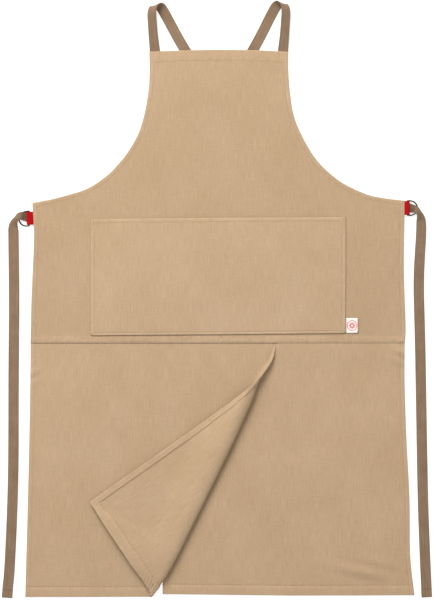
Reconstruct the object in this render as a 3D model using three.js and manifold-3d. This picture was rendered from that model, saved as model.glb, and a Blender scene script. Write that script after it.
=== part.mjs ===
// A split-leg canvas apron with cross-back straps, lying flat on its back with one lower corner
// folded over. +X is the viewer's right, +Y runs from the hem to the bib and +Z points out of the
// front face. Millimetres. The origin is at the middle of the surface that the apron lies on.

import * as THREE from "three";
import { mergeVertices } from "three/addons/utils/BufferGeometryUtils.js";
import Module from "manifold-3d";

const wasm = await Module();
wasm.setup();

// Cloth, webbing and wire
const CLOTH = 0.9;
const GAP = 0.3;
const WEBBING_WIDTH = 19;
const WEBBING_THICK = 1.5;
const WIRE = 2.6;
const RIBBON = 0.6;

// Heights of the layers, from the surface that the apron lies on
const DIAGONAL_Z = WEBBING_THICK / 2;
const CROSSING_Z = DIAGONAL_Z + WEBBING_THICK + GAP;
const BODY_Z = CROSSING_Z + WEBBING_THICK / 2 + GAP;
const LEFT_LEG_Z = BODY_Z - CLOTH - GAP;
const RIGHT_LEG_Z = LEFT_LEG_Z - CLOTH - GAP;
const FOLD_RISE = 9;
const CORNER_Z = LEFT_LEG_Z + FOLD_RISE;
const POCKET_Z = BODY_Z + CLOTH + GAP;
const RING_Z = DIAGONAL_Z + WEBBING_THICK / 2 + GAP + RIBBON + GAP + WIRE / 2;

// Body panel
const BIB_HALF = 125;
const BIB_Y = 446;
const BIB_MIDDLE_Y = 449.5;
const ARMHOLE_FOOT_X = 335;
const ARMHOLE_FOOT_Y = 176;
const WAIST_Y = -77;
const LEG_TOP_Y = WAIST_Y - GAP;
const HEM_Y = -533;
const LEFT_HEM_X = -348;
const RIGHT_HEM_X = 352;
const LEFT_WAIST_X = -339.5;
const RIGHT_WAIST_X = 334.6;

// Slit between the leg panels, and the corner folded back from it
const SLIT_X = 102.4;
const UNDERLAP_X = -100.8;
const FOLD_TOP = [84.5, -136];
const FOLD_FOOT = [-119, HEM_Y];
const CORNER_TIP = [-231.5, -364];

// Pocket, open towards the bib and slack enough to take a hand
const POCKET_LEFT = -229.5;
const POCKET_RIGHT = 228.5;
const POCKET_FOOT = -63;
const POCKET_MOUTH = 146;
const POCKET_SEAM = 7;
const POCKET_SLOPE = 30;
const POCKET_ROOM = 8;

// Label caught beside the pocket
const LABEL_WIDTH = 22;
const LABEL_LENGTH = 27;
const LABEL_FOOT = -60;
const LABEL_THICK = 0.4;

// D-rings and their tabs
const RING_HALF = 12.2;
const RING_DEPTH = 17.5;
const TAB_LENGTH = 21;
const TAB_REACH = 16;
const PAST_BOW = 1.8;

// Each side's own strap start, strap fold, ring and tail, with X counted outwards
const SIDES = [
  {
    name: "left",
    out: -1,
    strap: { x: 115, leanX: 118.5, foldX: 115.5, foldY: 528.5, crossingZ: DIAGONAL_Z },
    ring: { x: 340, y: 146.3 },
    tail: [[369, 110], [368, 0], [369, -136], [370, -325], [375.6, -469], [380.5, -537.5]],
  },
  {
    name: "right",
    out: 1,
    strap: { x: 117.1, leanX: 118.5, foldX: 115.3, foldY: 533.5, crossingZ: CROSSING_Z },
    ring: { x: 338.5, y: 165 },
    tail: [[364.3, 120], [360.3, 30], [363, -91], [367, -325], [370, -433], [374.6, -536]],
  },
];

const canvas = { color: 0xc5a883, roughness: 0.9, metalness: 0 };
const webbing = { color: 0x937a62, roughness: 0.85, metalness: 0 };
const redRibbon = { color: 0xc80a19, roughness: 0.7, metalness: 0 };
const darkMetal = { color: 0x5a5348, roughness: 0.35, metalness: 1 };
const labelCloth = { color: 0xf2ece2, roughness: 0.8, metalness: 0 };

const apron = new THREE.Group();

function addMesh(name, geometry, look) {
  const mesh = new THREE.Mesh(geometry, new THREE.MeshStandardMaterial(look));
  mesh.name = name;
  apron.add(mesh);
  return mesh;
}

// A flat plate of one outline, standing on the level z.
function plate(shape, z, thickness) {
  const geometry = new THREE.ExtrudeGeometry(shape, {
    depth: thickness,
    bevelEnabled: false,
    curveSegments: 24,
  });
  return geometry.translate(0, 0, z);
}

function outline(points) {
  return new THREE.Shape(points.map(([x, y]) => new THREE.Vector2(x, y)));
}

// A closed manifold solid from a geometry whose faces share their corners.
function solidFrom(geometry) {
  geometry.deleteAttribute("normal");
  geometry.deleteAttribute("uv");
  const merged = mergeVertices(geometry);
  return new wasm.Manifold(
    new wasm.Mesh({
      numProp: 3,
      vertProperties: new Float32Array(merged.attributes.position.array),
      triVerts: new Uint32Array(merged.index.array),
    }),
  );
}

function geometryFrom(solid) {
  const mesh = solid.getMesh();
  const geometry = new THREE.BufferGeometry();
  geometry.setAttribute("position", new THREE.BufferAttribute(mesh.vertProperties, 3));
  geometry.setIndex(new THREE.BufferAttribute(mesh.triVerts, 1));
  return geometry;
}

// A flat strip with a rectangular section. Each station holds its centre c, the vector w from the
// centre to one edge, and the vector n from the centre to one face.
function strip(stations) {
  const corners = [];
  for (const { c, w, n } of stations) {
    for (const [across, through] of [[-1, -1], [1, -1], [1, 1], [-1, 1]]) {
      const corner = c.clone().addScaledVector(w, across).addScaledVector(n, through);
      corners.push(corner.x, corner.y, corner.z);
    }
  }
  const faces = [0, 2, 1, 0, 3, 2];
  for (let i = 0; i < stations.length - 1; i += 1) {
    for (let k = 0; k < 4; k += 1) {
      const a = 4 * i + k;
      const b = 4 * i + ((k + 1) % 4);
      faces.push(a, b, b + 4, a, b + 4, a + 4);
    }
  }
  const last = 4 * (stations.length - 1);
  faces.push(last, last + 1, last + 2, last, last + 2, last + 3);
  const geometry = new THREE.BufferGeometry();
  geometry.setAttribute("position", new THREE.Float32BufferAttribute(corners, 3));
  geometry.setIndex(signedVolume(corners, faces) > 0 ? faces : faces.toReversed());
  return geometry;
}

function signedVolume(corners, faces) {
  const at = (i) => new THREE.Vector3().fromArray(corners, 3 * i);
  let volume = 0;
  for (let i = 0; i < faces.length; i += 3) {
    volume += at(faces[i]).dot(at(faces[i + 1]).cross(at(faces[i + 2]))) / 6;
  }
  return volume;
}

function vec(x, y, z) {
  return new THREE.Vector3(x, y, z);
}

// The horizontal unit vector square to a heading, turned to the side that keeps it with a guide.
function across(heading, guide) {
  const side = vec(-heading.y, heading.x, 0).normalize();
  return side.dot(guide) < 0 ? side.negate() : side;
}

function bodyPanel() {
  const shape = new THREE.Shape();
  shape.moveTo(LEFT_WAIST_X, WAIST_Y);
  shape.lineTo(RIGHT_WAIST_X, WAIST_Y);
  shape.lineTo(ARMHOLE_FOOT_X, ARMHOLE_FOOT_Y);
  shape.bezierCurveTo(180, 180, 120, 300, BIB_HALF, BIB_Y);
  shape.quadraticCurveTo(0, 2 * BIB_MIDDLE_Y - BIB_Y, -BIB_HALF, BIB_Y);
  shape.bezierCurveTo(-120, 300, -180, 180, -ARMHOLE_FOOT_X, ARMHOLE_FOOT_Y);
  return plate(shape, BODY_Z, CLOTH);
}

function leftLegPanel() {
  const shape = outline([
    [LEFT_WAIST_X, LEG_TOP_Y],
    [LEFT_HEM_X, HEM_Y],
    [FOLD_FOOT[0] - GAP, HEM_Y],
    [FOLD_TOP[0] - GAP, FOLD_TOP[1]],
    [SLIT_X, LEG_TOP_Y],
  ]);
  return plate(shape, LEFT_LEG_Z, CLOTH);
}

function foldedCorner() {
  const shape = outline([
    [FOLD_TOP[0] - GAP, FOLD_TOP[1]],
    [20, -191],
    [-118, -284],
    CORNER_TIP,
    [-159.5, -473],
    [-129, -519],
    [FOLD_FOOT[0] - GAP, HEM_Y],
  ]);
  return plate(shape, CORNER_Z, CLOTH);
}

function rightLegPanel() {
  const shape = outline([
    [UNDERLAP_X, LEG_TOP_Y],
    [UNDERLAP_X, HEM_Y],
    [RIGHT_HEM_X, HEM_Y],
    [343.6, -356],
    [RIGHT_WAIST_X, -149.5],
    [RIGHT_WAIST_X, LEG_TOP_Y],
  ]);
  return plate(shape, RIGHT_LEG_Z, CLOTH);
}

// The solid under a raised sheet: a sewn rim, slopes on three sides and a level top. The rim lies at
// the height rim, the top is POCKET_ROOM above it, and the mouth's end is at the given mouth.
function pocketSpace(rim, inset, base, mouth) {
  const left = POCKET_LEFT + inset;
  const right = POCKET_RIGHT - inset;
  const foot = POCKET_FOOT + inset;
  const top = rim + POCKET_ROOM;
  const acrossProfile = outline([
    [left, base],
    [right, base],
    [right, rim],
    [POCKET_RIGHT - POCKET_SEAM, rim],
    [POCKET_RIGHT - POCKET_SEAM - POCKET_SLOPE, top],
    [POCKET_LEFT + POCKET_SEAM + POCKET_SLOPE, top],
    [POCKET_LEFT + POCKET_SEAM, rim],
    [left, rim],
  ]);
  const alongProfile = outline([
    [foot, base],
    [mouth, base],
    [mouth, top],
    [POCKET_FOOT + POCKET_SEAM + POCKET_SLOPE, top],
    [POCKET_FOOT + POCKET_SEAM, rim],
    [foot, rim],
  ]);
  const margin = 50;
  const lengthwise = { depth: mouth - POCKET_FOOT + 2 * margin, bevelEnabled: false };
  const crosswise = { depth: POCKET_RIGHT - POCKET_LEFT + 2 * margin, bevelEnabled: false };
  const ridge = new THREE.ExtrudeGeometry(acrossProfile, lengthwise);
  ridge.rotateX(Math.PI / 2);
  ridge.translate(0, mouth + margin, 0);
  const wedge = new THREE.ExtrudeGeometry(alongProfile, crosswise);
  wedge.rotateX(Math.PI / 2);
  wedge.rotateZ(Math.PI / 2);
  wedge.translate(POCKET_LEFT - margin, 0, 0);
  return solidFrom(ridge).intersect(solidFrom(wedge));
}

function pocket() {
  const outer = pocketSpace(CLOTH, 0, 0, POCKET_MOUTH);
  const inner = pocketSpace(0, POCKET_SEAM, -1, POCKET_MOUTH + 1);
  return geometryFrom(outer.subtract(inner)).translate(0, 0, POCKET_Z);
}

function label() {
  const left = POCKET_RIGHT + GAP;
  const shape = outline([
    [left, LABEL_FOOT],
    [left + LABEL_WIDTH, LABEL_FOOT],
    [left + LABEL_WIDTH, LABEL_FOOT + LABEL_LENGTH],
    [left, LABEL_FOOT + LABEL_LENGTH],
  ]);
  return plate(shape, POCKET_Z, LABEL_THICK);
}

// One strap from its bib corner over the fold above the bib and across the back to the other ring.
function strap(side, other) {
  const half = WEBBING_WIDTH / 2;
  const up = vec(0, 0, WEBBING_THICK / 2);
  const start = vec(side.out * side.strap.x, BIB_Y - 16, CROSSING_Z);
  const fold = vec(side.out * side.strap.foldX, side.strap.foldY, CROSSING_Z);
  const lean = vec(side.out * side.strap.leanX, side.strap.foldY - 20, CROSSING_Z);
  const end = vec(other.out * (other.ring.x - GAP), other.ring.y, DIAGONAL_Z);
  const foldFoot = fold.clone().setZ(DIAGONAL_Z);
  const route = new THREE.CubicBezierCurve3(
    foldFoot,
    foldFoot.clone().add(vec(-side.out * 168, -249, 0)),
    end.clone().add(vec(-other.out * 138, -6, 0)),
    end,
  );
  const rise = lean.clone().sub(start).normalize();
  const fall = route.getTangent(0);
  const foldLine = rise.clone().add(fall).normalize();
  const mitre = half / Math.abs(rise.x * foldLine.y - rise.y * foldLine.x);
  const outward = across(foldLine, vec(0, 1, 0));
  const foldEdge = foldLine.clone().multiplyScalar(mitre);
  const foldMiddle = fold.clone().setZ((CROSSING_Z + DIAGONAL_Z) / 2);
  foldMiddle.addScaledVector(outward, WEBBING_THICK / 2 + GAP / 2);
  const stations = [
    { c: start, w: across(rise, foldLine).multiplyScalar(half), n: up },
    { c: lean, w: across(rise, foldLine).multiplyScalar(half), n: up },
    { c: fold, w: foldEdge, n: up },
    { c: foldMiddle, w: foldEdge, n: outward.multiplyScalar(WEBBING_THICK / 2) },
    { c: foldFoot, w: foldEdge, n: up.clone().negate() },
  ];
  const steps = 28;
  const crossing = 0.24;
  const hump = 0.07;
  for (let i = 1; i <= steps; i += 1) {
    const t = i / steps;
    const c = route.getPoint(t);
    const near = Math.max(0, 1 - Math.max(0, Math.abs(t - crossing) - hump) / hump);
    c.z += near * (side.strap.crossingZ - DIAGONAL_Z);
    const heading = i === steps ? vec(1, 0, 0) : route.getTangent(t);
    stations.push({ c, w: across(heading, foldLine).multiplyScalar(half), n: up.clone().negate() });
  }
  return strip(stations);
}

// The strap's stretch that comes up through the ring, over its bow and round towards the hem.
function strapTurn(side) {
  const half = WEBBING_WIDTH / 2;
  const n = vec(0, 0, WEBBING_THICK / 2);
  const overBow = RING_Z + WIRE / 2 + GAP + WEBBING_THICK / 2;
  const bowX = side.ring.x + RING_DEPTH;
  const pastTab = WIRE / 2 + GAP + RIBBON + 1;
  const straight = [
    [side.ring.x + GAP, DIAGONAL_Z],
    [side.ring.x + pastTab, DIAGONAL_Z],
    [bowX - half + 2, overBow],
    [bowX + PAST_BOW, overBow],
  ];
  const stations = straight.map(([x, z]) => ({
    c: vec(side.out * x, side.ring.y, z),
    w: vec(0, half, 0),
    n,
  }));
  const radius = half + GAP;
  const steps = 6;
  for (let i = 1; i <= steps; i += 1) {
    const turned = (i / steps) * (Math.PI / 2);
    const sine = Math.sin(turned);
    const cosine = Math.cos(turned);
    const x = bowX + PAST_BOW + radius * sine;
    const y = side.ring.y - radius + radius * cosine;
    const z = THREE.MathUtils.lerp(overBow, DIAGONAL_Z, i / steps);
    stations.push({
      c: vec(side.out * x, y, z),
      w: vec(side.out * half * sine, half * cosine, 0),
      n,
    });
  }
  return strip(stations);
}

// The loose end that lies beside the apron down to its hem.
function strapTail(side) {
  const half = WEBBING_WIDTH / 2;
  const n = vec(0, 0, WEBBING_THICK / 2);
  const firstX = side.ring.x + RING_DEPTH + PAST_BOW + half + GAP;
  const firstY = side.ring.y - half - 2 * GAP;
  const points = [[firstX, firstY], ...side.tail];
  const route = new THREE.CatmullRomCurve3(
    points.map(([x, y]) => vec(side.out * x, y, DIAGONAL_Z)),
  );
  const steps = 16;
  const stations = [];
  for (let i = 0; i <= steps; i += 1) {
    const t = i / steps;
    const heading = i === 0 ? vec(0, -1, 0) : route.getTangent(t);
    const w = across(heading, vec(1, 0, 0)).multiplyScalar(half);
    stations.push({ c: route.getPoint(t), w, n });
  }
  return strip(stations);
}

// A D-shaped outline round the origin's bar, grown from the wire's middle line by the given amount.
function ringOutline(Kind, grow) {
  const half = RING_HALF + grow;
  const flat = RING_DEPTH - RING_HALF;
  const shape = new Kind();
  shape.moveTo(-grow, -half);
  shape.lineTo(flat, -half);
  shape.absarc(flat, 0, half, -Math.PI / 2, Math.PI / 2, false);
  shape.lineTo(-grow, half);
  shape.closePath();
  return shape;
}

function dRing(side) {
  const bevel = WIRE * 0.3;
  const shape = ringOutline(THREE.Shape, WIRE / 2 - bevel);
  shape.holes.push(ringOutline(THREE.Path, bevel - WIRE / 2));
  const geometry = new THREE.ExtrudeGeometry(shape, {
    depth: WIRE - 2 * bevel,
    bevelThickness: bevel,
    bevelSize: bevel,
    bevelSegments: 2,
    curveSegments: 12,
  });
  geometry.translate(0, 0, RING_Z - WIRE / 2 + bevel);
  if (side.out < 0) {
    geometry.rotateZ(Math.PI);
  }
  return geometry.translate(side.out * side.ring.x, side.ring.y, 0);
}

// A ribbon folded round the ring's bar, with its two ends laid together under the body panel.
function tab(side) {
  const inner = WIRE / 2 + GAP;
  const outer = inner + RIBBON;
  const foot = RING_Z - outer;
  const seamTop = BODY_Z - GAP;
  const meet = Math.PI + Math.asin((RING_Z - seamTop) / outer);
  const shape = new THREE.Shape();
  shape.moveTo(-TAB_REACH, foot);
  shape.lineTo(0, foot);
  shape.absarc(0, RING_Z, outer, -Math.PI / 2, meet, false);
  shape.lineTo(-TAB_REACH, seamTop);
  shape.closePath();
  const bore = new THREE.Path();
  bore.absarc(0, RING_Z, inner, 0, 2 * Math.PI, true);
  shape.holes.push(bore);
  const geometry = new THREE.ExtrudeGeometry(shape, {
    depth: TAB_LENGTH,
    bevelEnabled: false,
    curveSegments: 10,
  });
  geometry.translate(0, 0, -TAB_LENGTH / 2);
  geometry.rotateX(Math.PI / 2);
  if (side.out < 0) {
    geometry.rotateZ(Math.PI);
  }
  return geometry.translate(side.out * side.ring.x, side.ring.y, 0);
}

addMesh("body_panel", bodyPanel(), canvas);
addMesh("pocket", pocket(), canvas);
addMesh("label", label(), labelCloth);
addMesh("left_leg_panel", leftLegPanel(), canvas);
addMesh("left_leg_folded_corner", foldedCorner(), canvas);
addMesh("right_leg_panel", rightLegPanel(), canvas);
for (const side of SIDES) {
  const other = SIDES.find((candidate) => candidate !== side);
  addMesh(`${side.name}_strap`, strap(side, other), webbing);
  addMesh(`${side.name}_ring_strap_turn`, strapTurn(side), webbing);
  addMesh(`${side.name}_strap_tail`, strapTail(side), webbing);
  addMesh(`${side.name}_d_ring`, dRing(side), darkMetal);
  addMesh(`${side.name}_ring_tab`, tab(side), redRibbon);
}

// The origin goes to the middle of the lowest level.
const extent = new THREE.Box3().setFromObject(apron);
const middle = extent.getCenter(new THREE.Vector3());
apron.position.set(-middle.x, -middle.y, -extent.min.z);

export default apron;
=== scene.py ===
import bpy
import numpy as np
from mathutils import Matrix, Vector
from mathutils.geometry import delaunay_2d_cdt


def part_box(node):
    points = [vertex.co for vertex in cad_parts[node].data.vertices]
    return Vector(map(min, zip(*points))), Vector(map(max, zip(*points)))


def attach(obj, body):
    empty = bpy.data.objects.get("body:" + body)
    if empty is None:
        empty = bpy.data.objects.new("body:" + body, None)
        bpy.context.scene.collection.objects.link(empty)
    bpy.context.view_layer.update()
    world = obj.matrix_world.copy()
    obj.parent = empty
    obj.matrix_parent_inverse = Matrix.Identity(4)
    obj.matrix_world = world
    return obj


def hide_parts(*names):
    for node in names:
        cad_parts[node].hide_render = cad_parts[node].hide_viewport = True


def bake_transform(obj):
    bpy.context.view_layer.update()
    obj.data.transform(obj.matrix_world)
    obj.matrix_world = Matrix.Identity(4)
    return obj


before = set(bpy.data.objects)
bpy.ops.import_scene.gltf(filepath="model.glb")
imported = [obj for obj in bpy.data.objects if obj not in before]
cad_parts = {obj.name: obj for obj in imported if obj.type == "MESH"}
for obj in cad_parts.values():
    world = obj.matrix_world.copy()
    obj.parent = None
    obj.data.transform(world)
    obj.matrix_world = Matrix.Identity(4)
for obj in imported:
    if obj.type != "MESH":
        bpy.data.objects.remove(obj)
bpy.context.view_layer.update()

# ---------------------------------------------------------------- sizes, in metres

CLOTH = 0.0008
HEM_LAYERS = 0.0013
HEM_PUFF = 0.00035
GROOVE = 0.00034
GROOVE_WIDTH = 0.0008
FOLD_RADIUS = 0.0011
STITCH_INSET = 0.0013
STITCH_PITCH = 0.0036
STITCH_LENGTH = 0.0027
THREAD = 0.00030
GRID = 0.006
ROW_STEP = 0.0036
WEAVE_PITCH = 0.00085
WRINKLE_WAVE = 0.0034

WEBBING_WIDTH = 0.019
WEBBING_THICK = 0.0015
WEBBING_RIBS = 9
RIB_DEPTH = 0.00008
TAIL_HEM = 0.016
RIBBON_THICK = 0.0007
TAB_WIDTH = {"left": 0.0234, "right": 0.0250}
TAB_SLACK = 0.0030
WIRE = 0.0026
RING_HALF_WIDTH = 0.0130
RING_DEPTH = 0.0190
RING_CORNER = 0.0021
FLOOR_GAP = 0.00005
RIGHT_LEG_LIFT = 0.0004

SIDE_HEM = 0.0085
SLIT_HEM = 0.0105
BOTTOM_HEM = 0.019
TOP_HEM = 0.0205
POCKET_HEM = 0.0075
FOOT_SEAM = 0.0055
WAIST_BAND = 0.0098
SEAM_LIP = 0.0014

# The apron's centre line and waist seam, from the body panel's own box
ARMHOLE_FOOT_X = 0.335
WAIST_Y = -0.077
body_low, body_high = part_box("body_panel")
CENTRE = np.array([body_high[0] - ARMHOLE_FOOT_X, body_low[1] - WAIST_Y, 0.0])


def middle_height(node):
    low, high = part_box(node)
    return (low[2] + high[2]) / 2


BODY_Z = middle_height("body_panel")
LEFT_LEG_Z = middle_height("left_leg_panel")
RIGHT_LEG_Z = middle_height("right_leg_panel") + RIGHT_LEG_LIFT
RING_Z = middle_height("left_d_ring")

# ---------------------------------------------------------------- small helpers


def smooth(t):
    t = np.clip(t, 0.0, 1.0)
    return t * t * (3 - 2 * t)


def bell(distance, width):
    return np.exp(-((distance / width) ** 2))


def waves(points, wavelength, seed, count=7):
    """A smooth random height of about one unit, from a few plane waves."""
    random = np.random.default_rng(seed)
    angles = random.uniform(0, np.pi, count)
    phases = random.uniform(0, 2 * np.pi, count)
    stretch = random.uniform(0.7, 1.5, count)
    total = np.zeros(len(points))
    for angle, phase, factor in zip(angles, phases, stretch):
        along = points[:, 0] * np.cos(angle) + points[:, 1] * np.sin(angle)
        total += np.sin(2 * np.pi * along / (wavelength * factor) + phase)
    return total / np.sqrt(count / 2) / 1.6


def bezier(p0, p1, p2, p3, count=60):
    t = np.linspace(0, 1, count)[:, None]
    p0, p1, p2, p3 = (np.array(p, float) for p in (p0, p1, p2, p3))
    return (1 - t) ** 3 * p0 + 3 * (1 - t) ** 2 * t * p1 + 3 * (1 - t) * t * t * p2 + t**3 * p3


def arc(centre, radius, first, last, count):
    """Points round a circle, from one angle to another."""
    angles = np.linspace(first, last, count)
    return np.array(centre) + radius * np.column_stack([np.cos(angles), np.sin(angles)])


def spline(points, count=200):
    """A Catmull-Rom curve through a few points of any dimension."""
    p = np.array(points, float)
    p = np.vstack([2 * p[0] - p[1], p, 2 * p[-1] - p[-2]])
    pieces = []
    each = max(4, count // (len(p) - 3))
    for i in range(1, len(p) - 2):
        t = np.linspace(0, 1, each, endpoint=False)[:, None]
        a, b, c, d = p[i - 1], p[i], p[i + 1], p[i + 2]
        pieces.append(
            0.5 * (2 * b + (c - a) * t + (2 * a - 5 * b + 4 * c - d) * t**2
                   + (3 * b - a - 3 * c + d) * t**3)
        )
    pieces.append(p[-2][None, :])
    return np.vstack(pieces)


def run_lengths(points):
    return np.concatenate([[0], np.cumsum(np.linalg.norm(np.diff(points[:, :3], axis=0), axis=1))])


def evenly(points, step):
    """The same line with its points a nearly equal step apart."""
    at = run_lengths(points)
    count = max(2, int(round(at[-1] / step)) + 1)
    wanted = np.linspace(0, at[-1], count)
    return np.column_stack([np.interp(wanted, at, points[:, k]) for k in range(points.shape[1])])


def normed(vectors):
    """The same directions at length one."""
    return vectors / np.linalg.norm(vectors, axis=1)[:, None]


def leftward(line):
    """The unit direction to the left of a line at each of its points."""
    along = normed(np.gradient(line, axis=0))
    return np.column_stack([-along[:, 1], along[:, 0]])


def inset(line, amount):
    """A line moved inward, to the left of its direction."""
    return line + leftward(line) * amount


def distance_to_line(points, line):
    """How far each point lies from a polyline."""
    best = np.full(len(points), 1e9)
    for a, b in zip(line[:-1], line[1:]):
        d = b - a
        t = np.clip(((points - a) @ d) / max(d @ d, 1e-18), 0, 1)
        best = np.minimum(best, np.linalg.norm(points - (a + t[:, None] * d), axis=1))
    return best


def inside_outline(points, outline):
    """True where a point is inside a closed outline."""
    x, y = points[:, 0], points[:, 1]
    crossings = np.zeros(len(points), int)
    for (ax, ay), (bx, by) in zip(outline, np.roll(outline, -1, axis=0)):
        spans = (ay > y) != (by > y)
        where = ax + (y - ay) / (by - ay if by != ay else 1e-12) * (bx - ax)
        crossings += spans & (x < where)
    return crossings % 2 == 1


def volume_of(mesh):
    """The volume inside a closed mesh, which is negative when its faces point inward."""
    mesh.calc_loop_triangles()
    count = len(mesh.loop_triangles)
    corners = np.empty(count * 3, np.int32)
    mesh.loop_triangles.foreach_get("vertices", corners)
    places = np.empty(len(mesh.vertices) * 3, np.float32)
    mesh.vertices.foreach_get("co", places)
    a, b, c = places.reshape(-1, 3).astype(float)[corners.reshape(-1, 3)].transpose(1, 0, 2)
    return float(np.sum(a * np.cross(b, c)) / 6)


def make_object(name, vertices, faces, material, flat=None, tint=None):
    mesh = bpy.data.meshes.new(name)
    mesh.from_pydata([tuple(v) for v in vertices], [], [tuple(int(i) for i in f) for f in faces])
    mesh.validate()
    if volume_of(mesh) < 0:
        mesh.flip_normals()
    mesh.polygons.foreach_set("use_smooth", [True] * len(mesh.polygons))
    if flat is not None:
        layer = mesh.attributes.new("flat", "FLOAT_VECTOR", "POINT")
        layer.data.foreach_set("vector", np.asarray(flat, np.float32).ravel())
    if tint is not None:
        layer = mesh.attributes.new("tint", "FLOAT", "POINT")
        layer.data.foreach_set("value", np.asarray(tint, np.float32))
    mesh.materials.append(material)
    piece = bpy.data.objects.new(name, mesh)
    bpy.context.scene.collection.objects.link(piece)
    return piece


# ---------------------------------------------------------------- materials


class Nodes:
    """A short way to build one node material."""

    def __init__(self, name):
        self.material = bpy.data.materials.new(name)
        self.material.use_nodes = True
        self.tree = self.material.node_tree
        self.shader = self.tree.nodes["Principled BSDF"]

    def add(self, kind, **settings):
        node = self.tree.nodes.new(kind)
        for key, value in settings.items():
            setattr(node, key, value)
        return node

    def link(self, source, target):
        self.tree.links.new(source, target)

    def feed(self, value, socket):
        if isinstance(value, bpy.types.NodeSocket):
            self.link(value, socket)
        elif value is not None:
            socket.default_value = value

    def set(self, name, value):
        """Sets or links one input of the surface shader."""
        self.feed(value, self.shader.inputs[name])

    def math(self, operation, a, b=None, c=None):
        node = self.add("ShaderNodeMath", operation=operation)
        for value, socket in zip((a, b, c), node.inputs):
            self.feed(value, socket)
        return node.outputs[0]

    def unit(self, value):
        """Moves a value from the range -1 to 1 into the range 0 to 1."""
        return self.math("MULTIPLY_ADD", value, 0.5, 0.5)

    def wave(self, value, pitch, kind="SINE"):
        return self.math(kind, self.math("MULTIPLY", value, 2 * np.pi / pitch))

    def tint(self):
        return self.add("ShaderNodeAttribute", attribute_name="tint").outputs["Fac"]

    def flat(self):
        return self.add("ShaderNodeAttribute", attribute_name="flat").outputs["Vector"]

    def split(self, vector):
        node = self.add("ShaderNodeSeparateXYZ")
        self.link(vector, node.inputs[0])
        return node.outputs[0], node.outputs[1], node.outputs[2]

    def scaled(self, vector, scale):
        node = self.add("ShaderNodeVectorMath", operation="MULTIPLY")
        self.link(vector, node.inputs[0])
        node.inputs[1].default_value = scale
        return node.outputs[0]

    def noise(self, vector, scale, detail=3.0, roughness=0.55):
        node = self.add("ShaderNodeTexNoise")
        self.link(vector, node.inputs["Vector"])
        node.inputs["Scale"].default_value = scale
        node.inputs["Detail"].default_value = detail
        node.inputs["Roughness"].default_value = roughness
        return node.outputs["Fac"]

    def ramp(self, value, stops):
        node = self.add("ShaderNodeValToRGB")
        self.link(value, node.inputs[0])
        ramp = node.color_ramp
        ramp.elements[0].position, ramp.elements[0].color = stops[0]
        ramp.elements[1].position, ramp.elements[1].color = stops[-1]
        for position, color in stops[1:-1]:
            element = ramp.elements.new(position)
            element.color = color
        return node.outputs[0]

    def mix(self, factor, a, b, blend="MIX"):
        node = self.add("ShaderNodeMix", data_type="RGBA", blend_type=blend)
        self.feed(factor, node.inputs["Factor"])
        self.feed(a, node.inputs[6])
        self.feed(b, node.inputs[7])
        return node.outputs[2]

    def bump(self, height, distance, strength=1.0, normal=None):
        node = self.add("ShaderNodeBump")
        node.inputs["Strength"].default_value = strength
        node.inputs["Distance"].default_value = distance
        self.link(height, node.inputs["Height"])
        if normal is not None:
            self.link(normal, node.inputs["Normal"])
        return node.outputs[0]


def gray(value):
    return (value, value, value, 1)


def canvas_material(name, tone, blotch_seed):
    """Plain-woven cotton canvas: crossed threads, slubs both ways, and pale, worn hems with painted
    highlights and painted shade in their stitched grooves.
    """
    n = Nodes(name)
    flat = n.flat()
    x, y, _ = n.split(flat)
    warp = n.wave(x, WEAVE_PITCH)
    weft = n.wave(y, WEAVE_PITCH)
    over = n.math("MULTIPLY", warp, weft)
    threads = n.math("ADD", n.math("ABSOLUTE", warp), n.math("MULTIPLY", over, 0.6))
    slub = n.noise(n.scaled(flat, (760, 34, 1)), 1.0, 4.0, 0.66)
    cross_slub = n.noise(n.scaled(flat, (42, 640, 1)), 1.0, 3.0, 0.66)
    cloud = n.noise(n.scaled(flat, (9, 6, 1)), 1.0 + 0.1 * blotch_seed, 3.0, 0.55)
    speck = n.noise(n.scaled(flat, (520, 520, 1)), 1.0, 3.0, 0.7)
    light = tuple(min(1.0, c * f) for c, f in zip(tone, (1.03, 1.035, 1.05))) + (1,)
    dark = tuple(c * f for c, f in zip(tone, (0.965, 0.95, 0.925))) + (1,)
    base = n.ramp(cloud, [(0.32, dark), (0.68, light)])
    slubs = n.ramp(slub, [(0.30, gray(0.84)), (0.48, gray(0.98)), (0.52, gray(0.98)), (0.70, gray(1.12))])
    crossed = n.ramp(cross_slub, [(0.30, gray(0.86)), (0.5, gray(0.98)), (0.70, gray(1.05))])
    grain = n.ramp(speck, [(0.3, gray(0.90)), (0.7, gray(1.06))])
    weave = n.ramp(n.unit(over), [(0.0, gray(0.88)), (0.7, gray(1.03))])
    color = n.mix(0.85, base, slubs, "MULTIPLY")
    color = n.mix(0.46, color, crossed, "MULTIPLY")
    color = n.mix(0.9, color, grain, "MULTIPLY")
    color = n.mix(0.8, color, weave, "MULTIPLY")
    # Hem tint: worn paler hems and painted highlights above zero, painted shade in the stitched grooves
    # below zero.
    worn_hems_and_painted_light = n.ramp(n.unit(n.tint()),
                  [(0.0, (0.50, 0.42, 0.34, 1)), (0.5, gray(1.0)), (1.0, (1.16, 1.17, 1.19, 1))])
    color = n.mix(1.0, color, worn_hems_and_painted_light, "MULTIPLY")
    n.set("Base Color", color)
    rough = n.ramp(slub, [(0.3, gray(0.96)), (0.7, gray(0.86))])
    n.set("Roughness", rough)
    n.set("Specular IOR Level", 0.2)
    n.set("Sheen Weight", 0.10)
    n.set("Sheen Roughness", 0.5)
    fine = n.bump(threads, 0.00016, 0.55)
    coarse = n.bump(slub, 0.00035, 0.5, fine)
    n.set("Normal", n.bump(cross_slub, 0.0003, 0.35, coarse))
    return n.material


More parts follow.
